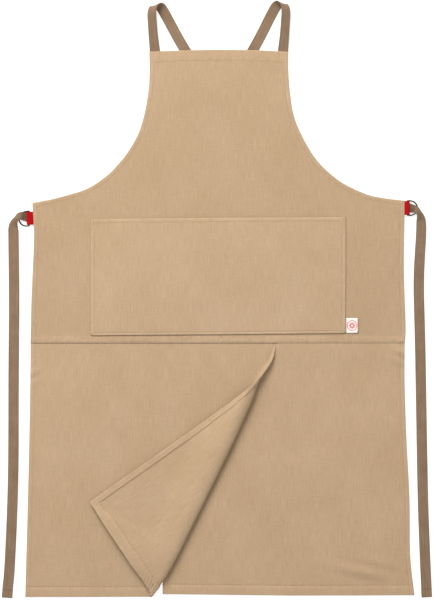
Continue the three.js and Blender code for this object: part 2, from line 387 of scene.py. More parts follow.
def webbing_material():
    """Herringbone cotton webbing: lengthwise cords, slanted weft floats, faded ridges and dark grooves."""
    n = Nodes("webbing")
    flat = n.flat()
    x, y, _ = n.split(flat)
    ribs = n.wave(x, WEBBING_WIDTH / WEBBING_RIBS, "COSINE")
    zigzag = n.math("PINGPONG", x, WEBBING_WIDTH / 4)
    weft = n.wave(n.math("ADD", y, n.math("MULTIPLY", zigzag, 1.3)), 0.0021)
    mixed = n.math("ADD", n.math("MULTIPLY", ribs, 0.8), n.math("MULTIPLY", weft, 0.9))
    streak = n.noise(n.scaled(flat, (520, 9, 1)), 1.0, 3.0, 0.6)
    cloud = n.noise(n.scaled(flat, (60, 40, 1)), 1.0, 3.0, 0.6)
    base = n.ramp(cloud, [(0.3, (0.262, 0.166, 0.096, 1)), (0.7, (0.310, 0.206, 0.126, 1))])
    streaks = n.ramp(streak, [(0.3, gray(0.74)), (0.7, gray(1.08))])
    grooves = n.ramp(n.math("MULTIPLY_ADD", mixed, 0.29, 0.5), [(0.0, gray(0.60)), (0.6, gray(1.05))])
    color = n.mix(0.8, base, streaks, "MULTIPLY")
    color = n.mix(0.85, color, grooves, "MULTIPLY")
    # Painted shade: darker where the strap lies in shadow inside its ring.
    painted_ring_shade = n.ramp(n.unit(n.tint()), [(0.0, gray(0.30)), (0.5, gray(1.0))])
    color = n.mix(1.0, color, painted_ring_shade, "MULTIPLY")
    n.set("Base Color", color)
    rough = n.ramp(streak, [(0.3, gray(0.92)), (0.7, gray(0.78))])
    n.set("Roughness", rough)
    n.set("Specular IOR Level", 0.25)
    n.set("Sheen Weight", 0.08)
    n.set("Normal", n.bump(mixed, 0.00022, 0.8))
    return n.material


def ribbon_material():
    """Red grosgrain: close ribs across the ribbon."""
    n = Nodes("red_grosgrain")
    flat = n.flat()
    ribs = n.wave(n.split(flat)[1], 0.0012, "COSINE")
    fibre = n.noise(n.scaled(flat, (1500, 300, 1)), 1.0, 2.0, 0.6)
    base = n.ramp(fibre, [(0.3, (0.40, 0.0010, 0.004, 1)), (0.7, (0.56, 0.0018, 0.008, 1))])
    shade = n.ramp(n.unit(ribs), [(0.0, gray(0.62)), (0.6, gray(1.0))])
    n.set("Base Color", n.mix(0.8, base, shade, "MULTIPLY"))
    n.set("Roughness", n.ramp(fibre, [(0.3, gray(0.7)), (0.7, gray(0.5))]))
    n.set("Specular IOR Level", 0.12)
    n.set("Normal", n.bump(ribs, 0.0002, 0.8))
    return n.material


def metal_material():
    """Dark antique plating, rubbed brighter here and there."""
    n = Nodes("antique_metal")
    place = n.add("ShaderNodeTexCoord").outputs["Object"]
    patches = n.noise(place, 420.0, 4.0, 0.6)
    fine = n.noise(place, 2600.0, 3.0, 0.6)
    color = n.ramp(patches, [(0.35, (0.020, 0.016, 0.012, 1)), (0.6, (0.055, 0.045, 0.034, 1)),
                             (0.8, (0.16, 0.135, 0.10, 1))])
    n.set("Base Color", color)
    n.set("Metallic", 1.0)
    n.set("Roughness", n.ramp(fine, [(0.3, gray(0.30)), (0.7, gray(0.48))]))
    n.set("Normal", n.bump(fine, 0.00003, 0.4))
    return n.material


def thread_material(name, tone):
    """Spun thread with a fine twist."""
    n = Nodes(name)
    flat = n.flat()
    x, y, _ = n.split(flat)
    twist = n.wave(n.math("ADD", x, y), 0.0005)
    low = tuple(c * 0.8 for c in tone) + (1,)
    high = tuple(tone) + (1,)
    n.set("Base Color", n.ramp(n.unit(twist), [(0.1, low), (0.8, high)]))
    n.set("Roughness", 0.75)
    n.set("Normal", n.bump(twist, 0.00006, 0.6))
    return n.material


def label_material(centre_x, centre_y):
    """White cotton tape printed with a plain red rosette in a ring."""
    n = Nodes("label_tape")
    flat = n.flat()
    x, y, _ = n.split(flat)
    dx = n.math("SUBTRACT", x, centre_x)
    dy = n.math("SUBTRACT", y, centre_y)
    radius = n.math("SQRT", n.math("ADD", n.math("MULTIPLY", dx, dx), n.math("MULTIPLY", dy, dy)))
    angle = n.math("ARCTAN2", dy, dx)
    petals = n.math("ABSOLUTE", n.math("COSINE", n.math("MULTIPLY", angle, 4.0)))
    reach = n.math("MULTIPLY_ADD", petals, 0.0032, 0.0030)

    def band(value, middle, half):
        off = n.math("ABSOLUTE", n.math("SUBTRACT", value, middle))
        return n.math("LESS_THAN", off, half)

    ring = band(radius, 0.0086, 0.0007)
    rosette = n.math("LESS_THAN", radius, reach)
    eye = n.math("GREATER_THAN", radius, 0.0019)
    frame_x = band(n.math("ABSOLUTE", dx), 0.0098, 0.00035)
    print_mask = n.math("MAXIMUM", ring, n.math("MULTIPLY", rosette, eye))
    print_mask = n.math("MAXIMUM", print_mask, n.math("MULTIPLY", frame_x, band(dy, 0.0, 0.0115)))
    wear = n.noise(n.scaled(flat, (1600, 1600, 1)), 1.0, 2.0, 0.6)
    ink = n.math("MULTIPLY", print_mask, n.ramp(wear, [(0.30, gray(0.45)), (0.5, gray(0.92))]))
    weave = n.math("MULTIPLY", n.wave(x, 0.0006), n.wave(y, 0.0006))
    tape = n.ramp(n.unit(weave),
                  [(0.0, (0.74, 0.70, 0.64, 1)), (0.7, (0.86, 0.83, 0.78, 1))])
    n.set("Base Color", n.mix(ink, tape, (0.62, 0.035, 0.03, 1)))
    n.set("Roughness", n.ramp(wear, [(0.3, gray(0.9)), (0.7, gray(0.75))]))
    n.set("Normal", n.bump(weave, 0.00008, 0.5))
    return n.material


def floor_material():
    """Pale and matt, and glowing a little, so that it stays evenly white."""
    n = Nodes("studio_floor")
    n.set("Base Color", gray(FLOOR_TONE))
    n.set("Emission Color", (1.0, 1.0, 1.0, 1))
    n.set("Emission Strength", FLOOR_GLOW)
    n.set("Roughness", 0.9)
    n.set("Specular IOR Level", 0.1)
    return n.material


CANVAS_TONE = (0.476, 0.329, 0.200)
UPPER_CANVAS = canvas_material("canvas_body", CANVAS_TONE, 0)
POCKET_CANVAS = canvas_material("canvas_pocket", (0.502, 0.352, 0.216), 3)
LEG_CANVAS = canvas_material("canvas_legs", (0.500, 0.348, 0.212), 5)
WEBBING = webbing_material()
RED_RIBBON = ribbon_material()
METAL = metal_material()
THREAD_CANVAS = thread_material("thread_tan", (0.50, 0.345, 0.205))
THREAD_WEBBING = thread_material("thread_brown", (0.21, 0.14, 0.09))

# ---------------------------------------------------------------- camera and light

VIEW_HEIGHT = 1.0803
SENSOR = 36.0
LENS = 110.0
SKY_STRENGTH = 0.60
SOFTBOX_PLACE = (-1.15, 2.75, 2.75)
SOFTBOX_SIZE = 2.2
SOFTBOX_POWER = 186.0
FLOOR_TONE = 0.45
FLOOR_GLOW = 0.72

camera_data = bpy.data.cameras.new("camera")
camera_data.sensor_width = SENSOR
camera_data.lens = LENS
camera = bpy.data.objects.new("camera", camera_data)
camera.location = (0.0, -0.0006, VIEW_HEIGHT * LENS / SENSOR)
bpy.context.scene.collection.objects.link(camera)
bpy.context.scene.camera = camera
bpy.context.scene.view_settings.view_transform = "Standard"

world = bpy.data.worlds.new("soft_white")
world.use_nodes = True
world.node_tree.nodes["Background"].inputs[0].default_value = (1.0, 1.0, 1.0, 1)
world.node_tree.nodes["Background"].inputs[1].default_value = SKY_STRENGTH
bpy.context.scene.world = world


def area_light(name, place, target, size, power):
    data = bpy.data.lights.new(name, "AREA")
    data.size = size
    data.energy = power
    light = bpy.data.objects.new(name, data)
    light.location = place
    direction = Vector(target) - Vector(place)
    light.rotation_euler = direction.to_track_quat("-Z", "Y").to_euler()
    light.visible_camera = False
    bpy.context.scene.collection.objects.link(light)


area_light("large_softbox", SOFTBOX_PLACE, (0.0, 0.0, 0.0), SOFTBOX_SIZE, SOFTBOX_POWER)

floor = make_object(
    "floor",
    [(-4, -4, 0), (4, -4, 0), (4, 4, 0), (-4, 4, 0)],
    [(0, 1, 2, 3)],
    floor_material(),
)

# ---------------------------------------------------------------- cloth panels

# Small wrinkles: x, y, size, height, and the slant and offset of their ridges
WRINKLES = (
    (0.324, -0.099, 0.020, 0.0012, 0.45, 0.048),
    (-0.333, -0.136, 0.020, 0.0008, -0.45, 0.014),
)


def lie(points):
    """How far the cloth rises and falls as it lies, shared by all the layers."""
    x, y = points[:, 0], points[:, 1]
    height = 0.00045 + 0.00050 * waves(points, 0.21, 11) + 0.00016 * waves(points, 0.07, 12)
    for spot_x, spot_y, size, rise, slant, offset in WRINKLES:
        ridges = 1 + np.sin((y + slant * x - offset) / WRINKLE_WAVE)
        height += rise * bell(np.hypot(x - spot_x, y - spot_y), size) * ridges
    low_right = bell(x - 0.262, 0.05) * bell(y + 0.485, 0.018)
    height += 0.0020 * low_right * (1 + np.sin((y + 0.25 * x) / 0.0046))
    height += 0.0010 * bell(np.hypot((x - 0.098) / 1.6, y + 0.084), 0.018)
    return np.maximum(height, 0.00002)


class Panel:
    """One piece of cloth cut to an outline, with turned hems, built as a closed thin shell.

    Each edge is (points, hem width), and the points run anticlockwise. surface() gives places on the
    finished cloth, so that stitches can follow it.
    """

    def __init__(self, name, edges, height, body_lines=(), fold=None, extra=None, band=None,
                 cloth=CLOTH, grid=GRID, fold_radius=FOLD_RADIUS):
        self.name = name
        self.cloth = cloth
        self.grid = grid
        self.fold_radius = fold_radius
        self.edges = [(evenly(np.array(points, float), ROW_STEP), hem) for points, hem in edges]
        self.height = height
        self.fold = fold
        self.extra = extra
        self.band = band
        self.lines = body_lines
        self.outline = np.vstack([points[:-1] for points, _ in self.edges])

    def middle(self, points):
        z = self.height + lie(points)
        if self.extra is not None:
            z = z + self.extra(points)
        placed = np.column_stack([points, z])
        return placed if self.fold is None else self.fold(placed)

    def normals(self, points):
        reach = 0.0008
        east = self.middle(points + [reach, 0]) - self.middle(points - [reach, 0])
        north = self.middle(points + [0, reach]) - self.middle(points - [0, reach])
        return normed(np.cross(east, north))

    def faces_height(self, points):
        """Heights of the front and back faces from the middle of the single cloth."""
        front = np.full(len(points), self.cloth / 2)
        layers = np.zeros(len(points))
        puff = np.zeros(len(points))
        groove = np.zeros(len(points))
        border = np.full(len(points), 1e9)
        pucker = 0.7 + 0.5 * waves(points, 0.011, 21) + 0.3 * waves(points, 0.028, 22)
        for line, hem in self.edges:
            away = distance_to_line(points, line)
            border = np.minimum(border, away)
            if hem == 0:
                continue
            within = smooth((hem - away) / 0.0008 + 0.5)
            layers = np.maximum(layers, within)
            swell = np.sqrt(np.clip(away / (hem - STITCH_INSET), 0, 1))
            swell = swell * np.sqrt(np.clip((hem - STITCH_INSET - away) / 0.004, 0, 1))
            puff = np.maximum(puff, swell)
            groove = np.maximum(groove, bell(away - (hem - STITCH_INSET), GROOVE_WIDTH))
        front += HEM_PUFF * puff * pucker - GROOVE * groove
        if self.band is not None:
            raised, lines = self.band(points)
            front += raised
            for line in lines:
                front -= GROOVE * bell(points[:, 1] - line, GROOVE_WIDTH)
        back = self.cloth / 2 + HEM_LAYERS * layers
        round_off = 1 - np.clip(border / self.fold_radius, 0, 1)
        swept = np.sqrt(np.clip(1 - round_off**2, 0, 1))
        centre = (front - back) / 2
        return centre + (front - centre) * swept, centre - (back + centre) * swept

    def surface(self, points, face):
        front, back = self.faces_height(points)
        normal = self.normals(points)
        lift = front if face > 0 else back
        return self.middle(points) + normal * lift[:, None], normal * face

    def rows(self):
        """Rows of points that follow each hemmed edge, so that hems and grooves are crisp."""
        found = []
        for line, hem in self.edges:
            inward = leftward(line)
            offsets = [0.0004, 0.0009, 0.0016]
            if hem > 0:
                stitch = hem - STITCH_INSET
                offsets += [0.0032, stitch / 2 + 0.001, stitch - 0.0016, stitch - 0.0008, stitch,
                            stitch + 0.0008, stitch + 0.0017, hem + 0.0012, hem + 0.003]
            for offset in offsets:
                row = line + inward * offset
                keep = distance_to_line(row, line) > offset - 0.0001
                found.append(row[keep])
        for line, offsets in self.lines:
            line = evenly(np.array(line, float), ROW_STEP)
            found += [inset(line, offset) for offset in offsets]
        rows = np.vstack(found)
        gap = np.min([distance_to_line(rows, line) for line, _ in self.edges], axis=0)
        return rows[inside_outline(rows, self.outline) & (gap > 0.00035)]

    def build(self, material):
        rows = self.rows()
        low, high = self.outline.min(axis=0), self.outline.max(axis=0)
        xs = np.arange(low[0] + self.grid / 2, high[0], self.grid)
        ys = np.arange(low[1] + self.grid / 2, high[1], self.grid)
        grid = np.stack(np.meshgrid(xs, ys), axis=-1).reshape(-1, 2)
        grid = grid[inside_outline(grid, self.outline)]
        reach = [distance_to_line(grid, line) > hem + 0.0045 for line, hem in self.edges]
        keep = np.all(reach, axis=0)
        for line, offsets in self.lines:
            keep &= distance_to_line(grid, np.array(line, float)) > max(np.abs(offsets)) + 0.003
        points = np.vstack([self.outline, rows, grid[keep]])
        rim = len(self.outline)
        around = [(i, (i + 1) % rim) for i in range(rim)]
        made = delaunay_2d_cdt([Vector(p) for p in points], around, [], 1, 1e-7)
        flat = np.array([tuple(v) for v in made[0]])
        border = {new for new, old in enumerate(made[3]) if any(i < rim for i in old)}
        faces = np.array([f for f in made[2] if len(f) == 3])
        a, b, c = flat[faces[:, 0]], flat[faces[:, 1]], flat[faces[:, 2]]
        turn = (b[:, 0] - a[:, 0]) * (c[:, 1] - a[:, 1]) - (b[:, 1] - a[:, 1]) * (c[:, 0] - a[:, 0])
        faces[turn < 0] = faces[turn < 0][:, ::-1]
        faces = faces[np.abs(turn) > 1e-12]
        front, back = self.faces_height(flat)
        normal = self.normals(flat)
        middle = self.middle(flat)
        top = middle + normal * front[:, None]
        inner = np.array([i for i in range(len(flat)) if i not in border])
        lower = np.arange(len(flat))
        lower[inner] = len(flat) + np.arange(len(inner))
        bottom = (middle + normal * back[:, None])[inner]
        vertices = np.vstack([top, bottom]) + CENTRE
        all_faces = np.vstack([faces, lower[faces][:, ::-1]])
        kept = np.column_stack([flat, np.zeros(len(flat))])
        tint = self.tint(flat)
        return make_object(self.name, vertices, all_faces, material, np.vstack([kept, kept[inner]]),
                           np.concatenate([tint, tint[inner]]))

    def tint(self, points):
        """Above zero where hems are doubled and worn pale, and for painted highlights along folded edges and
        beside stitch lines; below zero for painted shade in the stitched grooves.
        """
        worn_hems_and_painted_light = np.zeros(len(points))
        dark = np.zeros(len(points))
        patchy = 0.75 + 0.45 * waves(points, 0.013, 41) + 0.3 * waves(points, 0.05, 42)
        for line, hem in self.edges:
            if hem == 0:
                continue
            away = distance_to_line(points, line)
            within = smooth((hem - STITCH_INSET - away) / 0.0012 + 0.5)
            # The doubled hem band is worn paler; the pale lines along the folded edge and beside the stitch
            # line are painted highlights.
            worn_hems_and_painted_light = np.maximum(worn_hems_and_painted_light, 0.22 * within + 0.30 * bell(away - 0.0007, 0.0009))
            worn_hems_and_painted_light = np.maximum(worn_hems_and_painted_light, 0.60 * bell(away - hem + STITCH_INSET + 0.0012, 0.0009))
            # Painted shade in the stitched groove.
            dark = np.maximum(dark, bell(away - (hem - STITCH_INSET + 0.0006), 0.0008))
        if self.band is not None:
            raised, lines = self.band(points)
            # The seam's raised band is paler; its stitch lines get painted shade, with a painted highlight
            # just above each.
            worn_hems_and_painted_light = np.maximum(worn_hems_and_painted_light, 0.25 * (raised > 0.0002))
            for line in lines:
                dark = np.maximum(dark, 0.8 * bell(points[:, 1] - line, 0.0008))
                worn_hems_and_painted_light = np.maximum(worn_hems_and_painted_light, 0.6 * bell(points[:, 1] - line - 0.0017, 0.0008))
        return np.clip(worn_hems_and_painted_light * patchy - 0.25 * dark * np.clip(patchy, 0.3, 1.2), -1, 1)


def stitches(name, runs, material):
    """Rows of thread. Each run is (centres, surface normals), already a thread's pitch apart."""
    sides, vertices, faces, flat = 6, [], [], []
    profile = [(-0.5, 0.35), (-0.32, 0.9), (0.0, 1.0), (0.32, 0.9), (0.5, 0.35)]
    for centres, normals in runs:
        along = normed(np.gradient(centres, axis=0))
        across = normed(np.cross(normals, along))
        for centre, a, w, up in zip(centres, along, across, normals):
            base = len(vertices)
            for shift, size in profile:
                sink = THREAD * (0.25 - 2.2 * shift**2)
                for k in range(sides):
                    turn = 2 * np.pi * k / sides
                    ring = THREAD * size * (np.cos(turn) * w + np.sin(turn) * up)
                    vertices.append(centre + a * shift * STITCH_LENGTH + up * sink + ring + CENTRE)
                    flat.append((shift * STITCH_LENGTH, THREAD * turn, 0))
            for j in range(len(profile) - 1):
                for k in range(sides):
                    p = base + j * sides + k
                    q = base + j * sides + (k + 1) % sides
                    faces.append((p, p + sides, q + sides, q))
            faces.append(tuple(base + k for k in range(sides)))
            last = base + (len(profile) - 1) * sides
            faces.append(tuple(last + k for k in reversed(range(sides))))
    return make_object(name, vertices, faces, material, flat)


def hem_lines(panel):
    """Where a panel's hems are stitched down."""
    return [inset(line, hem - STITCH_INSET) for line, hem in panel.edges if hem > 0]


def stitch_runs(panel, lines, faces=(1, -1)):
    """Threads along lines on a panel: on its front face, its back face or both."""
    runs = []
    for line in lines:
        spaced = evenly(np.array(line, float), STITCH_PITCH)
        spaced = spaced[inside_outline(spaced, panel.outline)]
        if len(spaced) < 3:
            continue
        for face in faces:
            runs.append(panel.surface(spaced, face))
    return runs


# ---------------------------------------------------------------- the body panel

SEAM_LOW = WAIST_Y - SEAM_LIP
SEAM_HIGH = SEAM_LOW + WAIST_BAND
SEAM_STITCHES = (SEAM_LOW + SEAM_LIP, SEAM_HIGH - 0.0009)
LEFT_FOOT = (-0.335, 0.174)
RIGHT_FOOT = (0.3348, 0.178)
ring_spots = {"left": np.array([-0.340, 0.1463]), "right": np.array([0.3385, 0.165])}


def seam_band(points):
    """The felled waist seam: a raised band between two stitch lines."""
    y = points[:, 1]
    ripple = 0.8 + 0.35 * waves(points, 0.014, 31) + 0.25 * waves(points, 0.05, 32)
    raised = 0.00065 * ripple * smooth((SEAM_HIGH - y) / 0.0012 + 0.5)
    raised *= 0.2 + 0.8 * smooth((y - SEAM_LOW) / 0.004)
    return raised, SEAM_STITCHES


def body_rise(points):
    """The body panel rides up a little over the straps and tabs behind it."""
    lift = 0.0008 * bell(np.hypot(points[:, 0] / 2.5, points[:, 1] - 0.37), 0.03)
    for spot in ring_spots.values():
        lift += 0.0010 * bell(np.linalg.norm(points - spot, axis=1), 0.022)
    return lift


right_side = spline([(0.3346, SEAM_LOW), (0.3362, -0.046), (0.3330, 0.057), RIGHT_FOOT], 60)
left_side = spline([LEFT_FOOT, (-0.3322, 0.113), (-0.3366, 0.002), (-0.3384, SEAM_LOW)], 60)
right_armhole = spline([
    RIGHT_FOOT, (0.3000, 0.1822), (0.2672, 0.1893), (0.2275, 0.2073), (0.2022, 0.2253), (0.1832, 0.2433),
    (0.1690, 0.2613), (0.1580, 0.2793), (0.1486, 0.2973), (0.1405, 0.3153), (0.1346, 0.3334),
    (0.1310, 0.3514), (0.1286, 0.3694), (0.1267, 0.3874), (0.1255, 0.4054), (0.1248, 0.4234),
    (0.1250, 0.4460)], 160)
bib_top = spline([(0.125, 0.446), (0.062, 0.4488), (0.0, 0.4495), (-0.062, 0.4483), (-0.125, 0.446)], 80)
left_armhole = spline([
    (-0.1250, 0.4460), (-0.1242, 0.4234), (-0.1244, 0.4054), (-0.1252, 0.3874), (-0.1272, 0.3694),
    (-0.1300, 0.3514), (-0.1336, 0.3334), (-0.1386, 0.3153), (-0.1452, 0.2973), (-0.1547, 0.2793),
    (-0.1664, 0.2613), (-0.1810, 0.2433), (-0.1988, 0.2253), (-0.2225, 0.2075), (-0.2450, 0.1962),
    (-0.2720, 0.1880), (-0.2995, 0.1808), LEFT_FOOT], 170)
waist_edge = [(-0.3384, SEAM_LOW), (0.3346, SEAM_LOW)]

body = Panel(
    "canvas_body_panel",
    [
        (waist_edge, 0),
        (right_side, SIDE_HEM),
        (right_armhole, SIDE_HEM),
        (bib_top, TOP_HEM),
        (left_armhole, SIDE_HEM),
        (left_side, SIDE_HEM),
    ],
    BODY_Z,
    body_lines=[([(-0.345, SEAM_LOW), (0.345, SEAM_LOW)],
                 [0.0004 + 0.0008 * k for k in range(14)])],
    extra=body_rise,
    band=seam_band,
)
body_piece = body.build(UPPER_CANVAS)
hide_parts("body_panel")
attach(body_piece, "apron_body")

body_lines = [[(-0.3365, y), (0.3330, y)] for y in SEAM_STITCHES] + hem_lines(body)


def tack(x, y, length, angle, rows=3):
    """A short bar tack: close parallel rows of stitches."""
    heading = np.array([np.cos(angle), np.sin(angle)])
    beside = np.array([-heading[1], heading[0]])
    found = []
    for k in range(rows):
        middle = np.array([x, y]) + beside * (k - (rows - 1) / 2) * 0.0009
        found.append([middle - heading * length / 2, middle + heading * length / 2])
    return found


for side_x in (-0.1065, 0.1085):
    body_lines += tack(side_x, 0.4365, 0.016, np.pi / 2, 2)
body_stitches = stitches("body_stitching", stitch_runs(body, body_lines), THREAD_CANVAS)
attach(body_stitches, "apron_body")

# ---------------------------------------------------------------- the pocket

pocket_low, pocket_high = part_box("pocket")
PX0, PX1 = pocket_low[0] - CENTRE[0], pocket_high[0] - CENTRE[0]
PY0, PY1 = pocket_low[1] - CENTRE[1], pocket_high[1] - CENTRE[1]
POCKET_Z = BODY_Z + CLOTH + 0.0007


def pocket_rise(points):
    """The pocket is a little slack, mostly at its mouth."""
    across = smooth((points[:, 0] - PX0) / 0.10) * smooth((PX1 - points[:, 0]) / 0.10)
    up = smooth((points[:, 1] - PY0) / (PY1 - PY0))
    edge = smooth((points[:, 0] - PX0) / 0.012) * smooth((PX1 - points[:, 0]) / 0.012)
    edge *= smooth((points[:, 1] - PY0) / 0.012)
    return 0.0004 * edge + 0.0022 * across * up


foot_y = [(PX0, PY0 - 0.0017), (0.02, PY0 + 0.0004), (PX1 - 0.0005, PY0 + 0.0024)]
pocket_foot = spline(foot_y, 40)
pocket_right = spline([foot_y[-1], (PX1, 0.05), (PX1, PY1 + 0.0021)], 30)
pocket_mouth = spline([(PX1, PY1 + 0.0021), (0.0, PY1 + 0.0008), (PX0, PY1 - 0.0014)], 40)
pocket_left = spline([(PX0, PY1 - 0.0014), (PX0 - 0.0005, 0.05), foot_y[0]], 30)
pocket = Panel(
    "canvas_pocket",
    [
        (pocket_foot, FOOT_SEAM),
        (pocket_right, POCKET_HEM),
        (pocket_mouth, POCKET_HEM + 0.0006),
        (pocket_left, POCKET_HEM),
    ],
    POCKET_Z + HEM_LAYERS * 0.55,
    extra=pocket_rise,
)
pocket_piece = pocket.build(POCKET_CANVAS)
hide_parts("pocket")
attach(pocket_piece, "apron_body")
pocket_lines = hem_lines(pocket)
pocket_lines += tack(PX0 + 0.0040, PY1 - 0.009, 0.011, np.pi / 2, 3)
pocket_lines += tack(PX1 - 0.0040, PY1 - 0.006, 0.011, np.pi / 2, 3)
pocket_stitches = stitches("pocket_stitching", stitch_runs(pocket, pocket_lines, (1,)), THREAD_CANVAS)
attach(pocket_stitches, "apron_body")

# ---------------------------------------------------------------- the label

label_low, label_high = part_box("label")
LX0, LX1 = label_low[0] - CENTRE[0], label_high[0] - CENTRE[0]
LY0, LY1 = label_low[1] - CENTRE[1], label_high[1] - CENTRE[1]


def label_curl(points):
    from_seam = (points[:, 0] - LX0) / (LX1 - LX0)
    return 0.0014 * np.clip(from_seam, 0, 1) ** 2 + 0.0003 * np.sin(from_seam * 5)


label_corners = [(LX0, LY0), (LX1, LY0 + 0.0004), (LX1 - 0.0003, LY1), (LX0, LY1)]
label_edges = [([a, b], 0) for a, b in zip(label_corners, label_corners[1:] + label_corners[:1])]
label = Panel("printed_label", label_edges, BODY_Z + 0.0015, extra=label_curl,
              cloth=0.0005, grid=0.002, fold_radius=0.0003)
label_piece = label.build(label_material((LX0 + LX1) / 2, (LY0 + LY1) / 2))
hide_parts("label")
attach(label_piece, "label")

# ---------------------------------------------------------------- leg panels

LEG_TOP = WAIST_Y + 0.0006
SLIT_TOP = (0.1024, LEG_TOP)
SLIT_FOOT = (0.084, -0.531)

# The fold line of the turned corner: a start on the slit's edge and the heading towards the hem
FOLD_START = np.array([0.1005, -0.105])
FOLD_HEADING = np.array([-0.4562, -0.8899])
FOLD_SIDE = np.array([0.8899, -0.4562])
REACH_OF_FOLD = 0.4832
SLIT_REACH = 0.3867

# The flat leg's ripples stay below the heights where the cloth passes from the leg to its corner
RIPPLE_LIMIT = 0.0019

# The soft roll of the turned corner at places along the fold, in mm: place, reach sideways, height,
# farthest side, where the turned edge comes to rest, its height, and how far the roll turns in degrees
FOLD_STATIONS = np.array([
    (-40, 8, 0.0, -14, -19, 0.0, 0),
    (-25, 5, 2.0, -8.0, -11, 0.2, 35),
    (-14, 6, 8.0, -6.9, -7, 2.5, 70),
    (-3, 6.5, 12.5, -4.4, -4.4, 5.5, 84),
    (8, 7.5, 15.5, -3.1, -3, 7.5, 90),
    (18, 8.4, 17.8, -3.9, -4, 9.5, 95),
    (28, 9.6, 19.0, -5.4, -5.7, 11.5, 103),
    (45, 12.5, 18.4, -6.7, -9.5, 14.5, 129),
    (61, 14.5, 17.9, -5.2, -13.6, 17, 155),
    (68, 14.5, 18.2, -3.8, -17.2, 16.6, 178),
    (80, 14.4, 18.4, -1.8, -22.0, 15.0, 180),
    (110, 14.8, 18.2, 0.0, -36.0, 11.0, 180),
    (150, 15.2, 17.6, 2.0, -56.4, 7.8, 180),
    (184, 15.6, 17.2, 3.4, -73.5, 6.6, 180),
    (220, 16, 16.8, 4.0, -92.5, 6.2, 180),
    (259, 16, 16.4, 4.7, -112.9, 6.2, 180),
    (333, 15.4, 15.8, 6.0, -152.4, 6.2, 180),
    (382, 14.6, 15.4, 6.6, -178.0, 6.6, 180),
    (389, 14.4, 15.6, 6.7, -165.0, 8.6, 180),
    (410, 13.6, 15.4, 6.7, -128.8, 11.8, 180),
    (430, 12.0, 14.8, 6.0, -92.2, 13.6, 180),
    (446, 9.6, 13.4, 4.6, -63.6, 13.0, 180),
    (461.5, 6.8, 10.4, 2.4, -32.2, 9.6, 180),
    (473.5, 4.0, 7.2, 0.0, -11.9, 6.2, 180),
    (484, 2.2, 4.6, -1.6, -4.0, 4.0, 180),
    (500, 2.2, 4.6, -3.4, -6.0, 4.0, 180),
]) / 1000
TABLE_T = np.arange(-0.040, 0.5001, 0.001)
TABLE_U = np.linspace(0, 1, 161)


def flat_edge(t):
    """Where the flat cloth ends beside the fold line: on the slit's edge, then on the hem."""
    hem = 0.1796 * (REACH_OF_FOLD - t) / (REACH_OF_FOLD - SLIT_REACH)
    return np.minimum(0.4645 * t, hem)


def fold_profile(t):
    """The cloth's path across the fold at one place, from where it leaves the leg to its edge."""
    at = FOLD_STATIONS[:, 0]
    reach, height, side, edge, edge_z, turn = (np.interp(t, at, FOLD_STATIONS[:, k]) for k in range(1, 7))
    turn = np.radians(turn * 1000)
    start = side - reach
    angle = np.linspace(0, turn, 60)
    s = start + reach * np.sin(angle)
    z = height / 2 * (1 - np.cos(angle))
    if turn > 3.1 and start - edge > 0.0005:
        run = np.linspace(0, start - edge, 61)[1:]
        fall = smooth(run / min(0.060, start - edge))
        s = np.concatenate([s, start - run])
        z = np.concatenate([z, height + (edge_z - height) * fall])
    far = run_lengths(np.column_stack([s, z]))
    cloth = max(float(flat_edge(t)) - start, 0.0005)
    length = min(far[-1], 1.2 * cloth)
    power = np.clip(0.9 * cloth / length, 1.0, 3.0)
    wanted = length * (1 - (1 - TABLE_U) ** power)
    return start, cloth, np.interp(wanted, far, s), np.interp(wanted, far, z)


profiles = [fold_profile(t) for t in TABLE_T]
START_OF_ROLL = np.array([p[0] for p in profiles])
CLOTH_IN_ROLL = np.array([p[1] for p in profiles])
PATH_S = np.array([p[2] for p in profiles])
PATH_Z = np.array([p[3] for p in profiles])


def look_up(table, row, column):
    """Reads a table between its rows and columns."""
    r = np.clip(row, 0, table.shape[0] - 1.001)
    c = np.clip(column, 0, table.shape[1] - 1.001)
    i, j = r.astype(int), c.astype(int)
    fr, fc = r - i, c - j
    low = table[i, j] * (1 - fc) + table[i, j + 1] * fc
    high = table[i + 1, j] * (1 - fc) + table[i + 1, j + 1] * fc
    return low * (1 - fr) + high * fr


def fold_corner(placed):
    """Carries flat cloth round the soft roll and lays it back over the leg panel."""
    rel = placed[:, :2] - FOLD_START
    t = rel @ FOLD_HEADING
    s = rel @ FOLD_SIDE
    rise = np.minimum(placed[:, 2] - LEFT_LEG_Z, RIPPLE_LIMIT)
    start = np.interp(t, TABLE_T, START_OF_ROLL)
    cloth = np.interp(t, TABLE_T, CLOTH_IN_ROLL)
    part = (s - start) / cloth
    row = (t - TABLE_T[0]) / (TABLE_T[1] - TABLE_T[0])
    column = part * (len(TABLE_U) - 1)
    rolled = part > 0
    past = np.clip(part - 1, 0, None) * cloth
    new_s = np.where(rolled, look_up(PATH_S, row, column), s) - past
    lift = np.where(rolled, look_up(PATH_Z, row, column), 0.0)
    pleats = bell(t - 0.462, 0.014) * smooth(part / 0.25) * 0.0007 * np.sin((s + 0.25 * t) / 0.00085)
    calm = 1 - 0.85 * smooth(part / 0.35)
    spot = FOLD_START + t[:, None] * FOLD_HEADING + new_s[:, None] * FOLD_SIDE
    return np.column_stack([spot, LEFT_LEG_Z + rise * calm + lift + pleats])


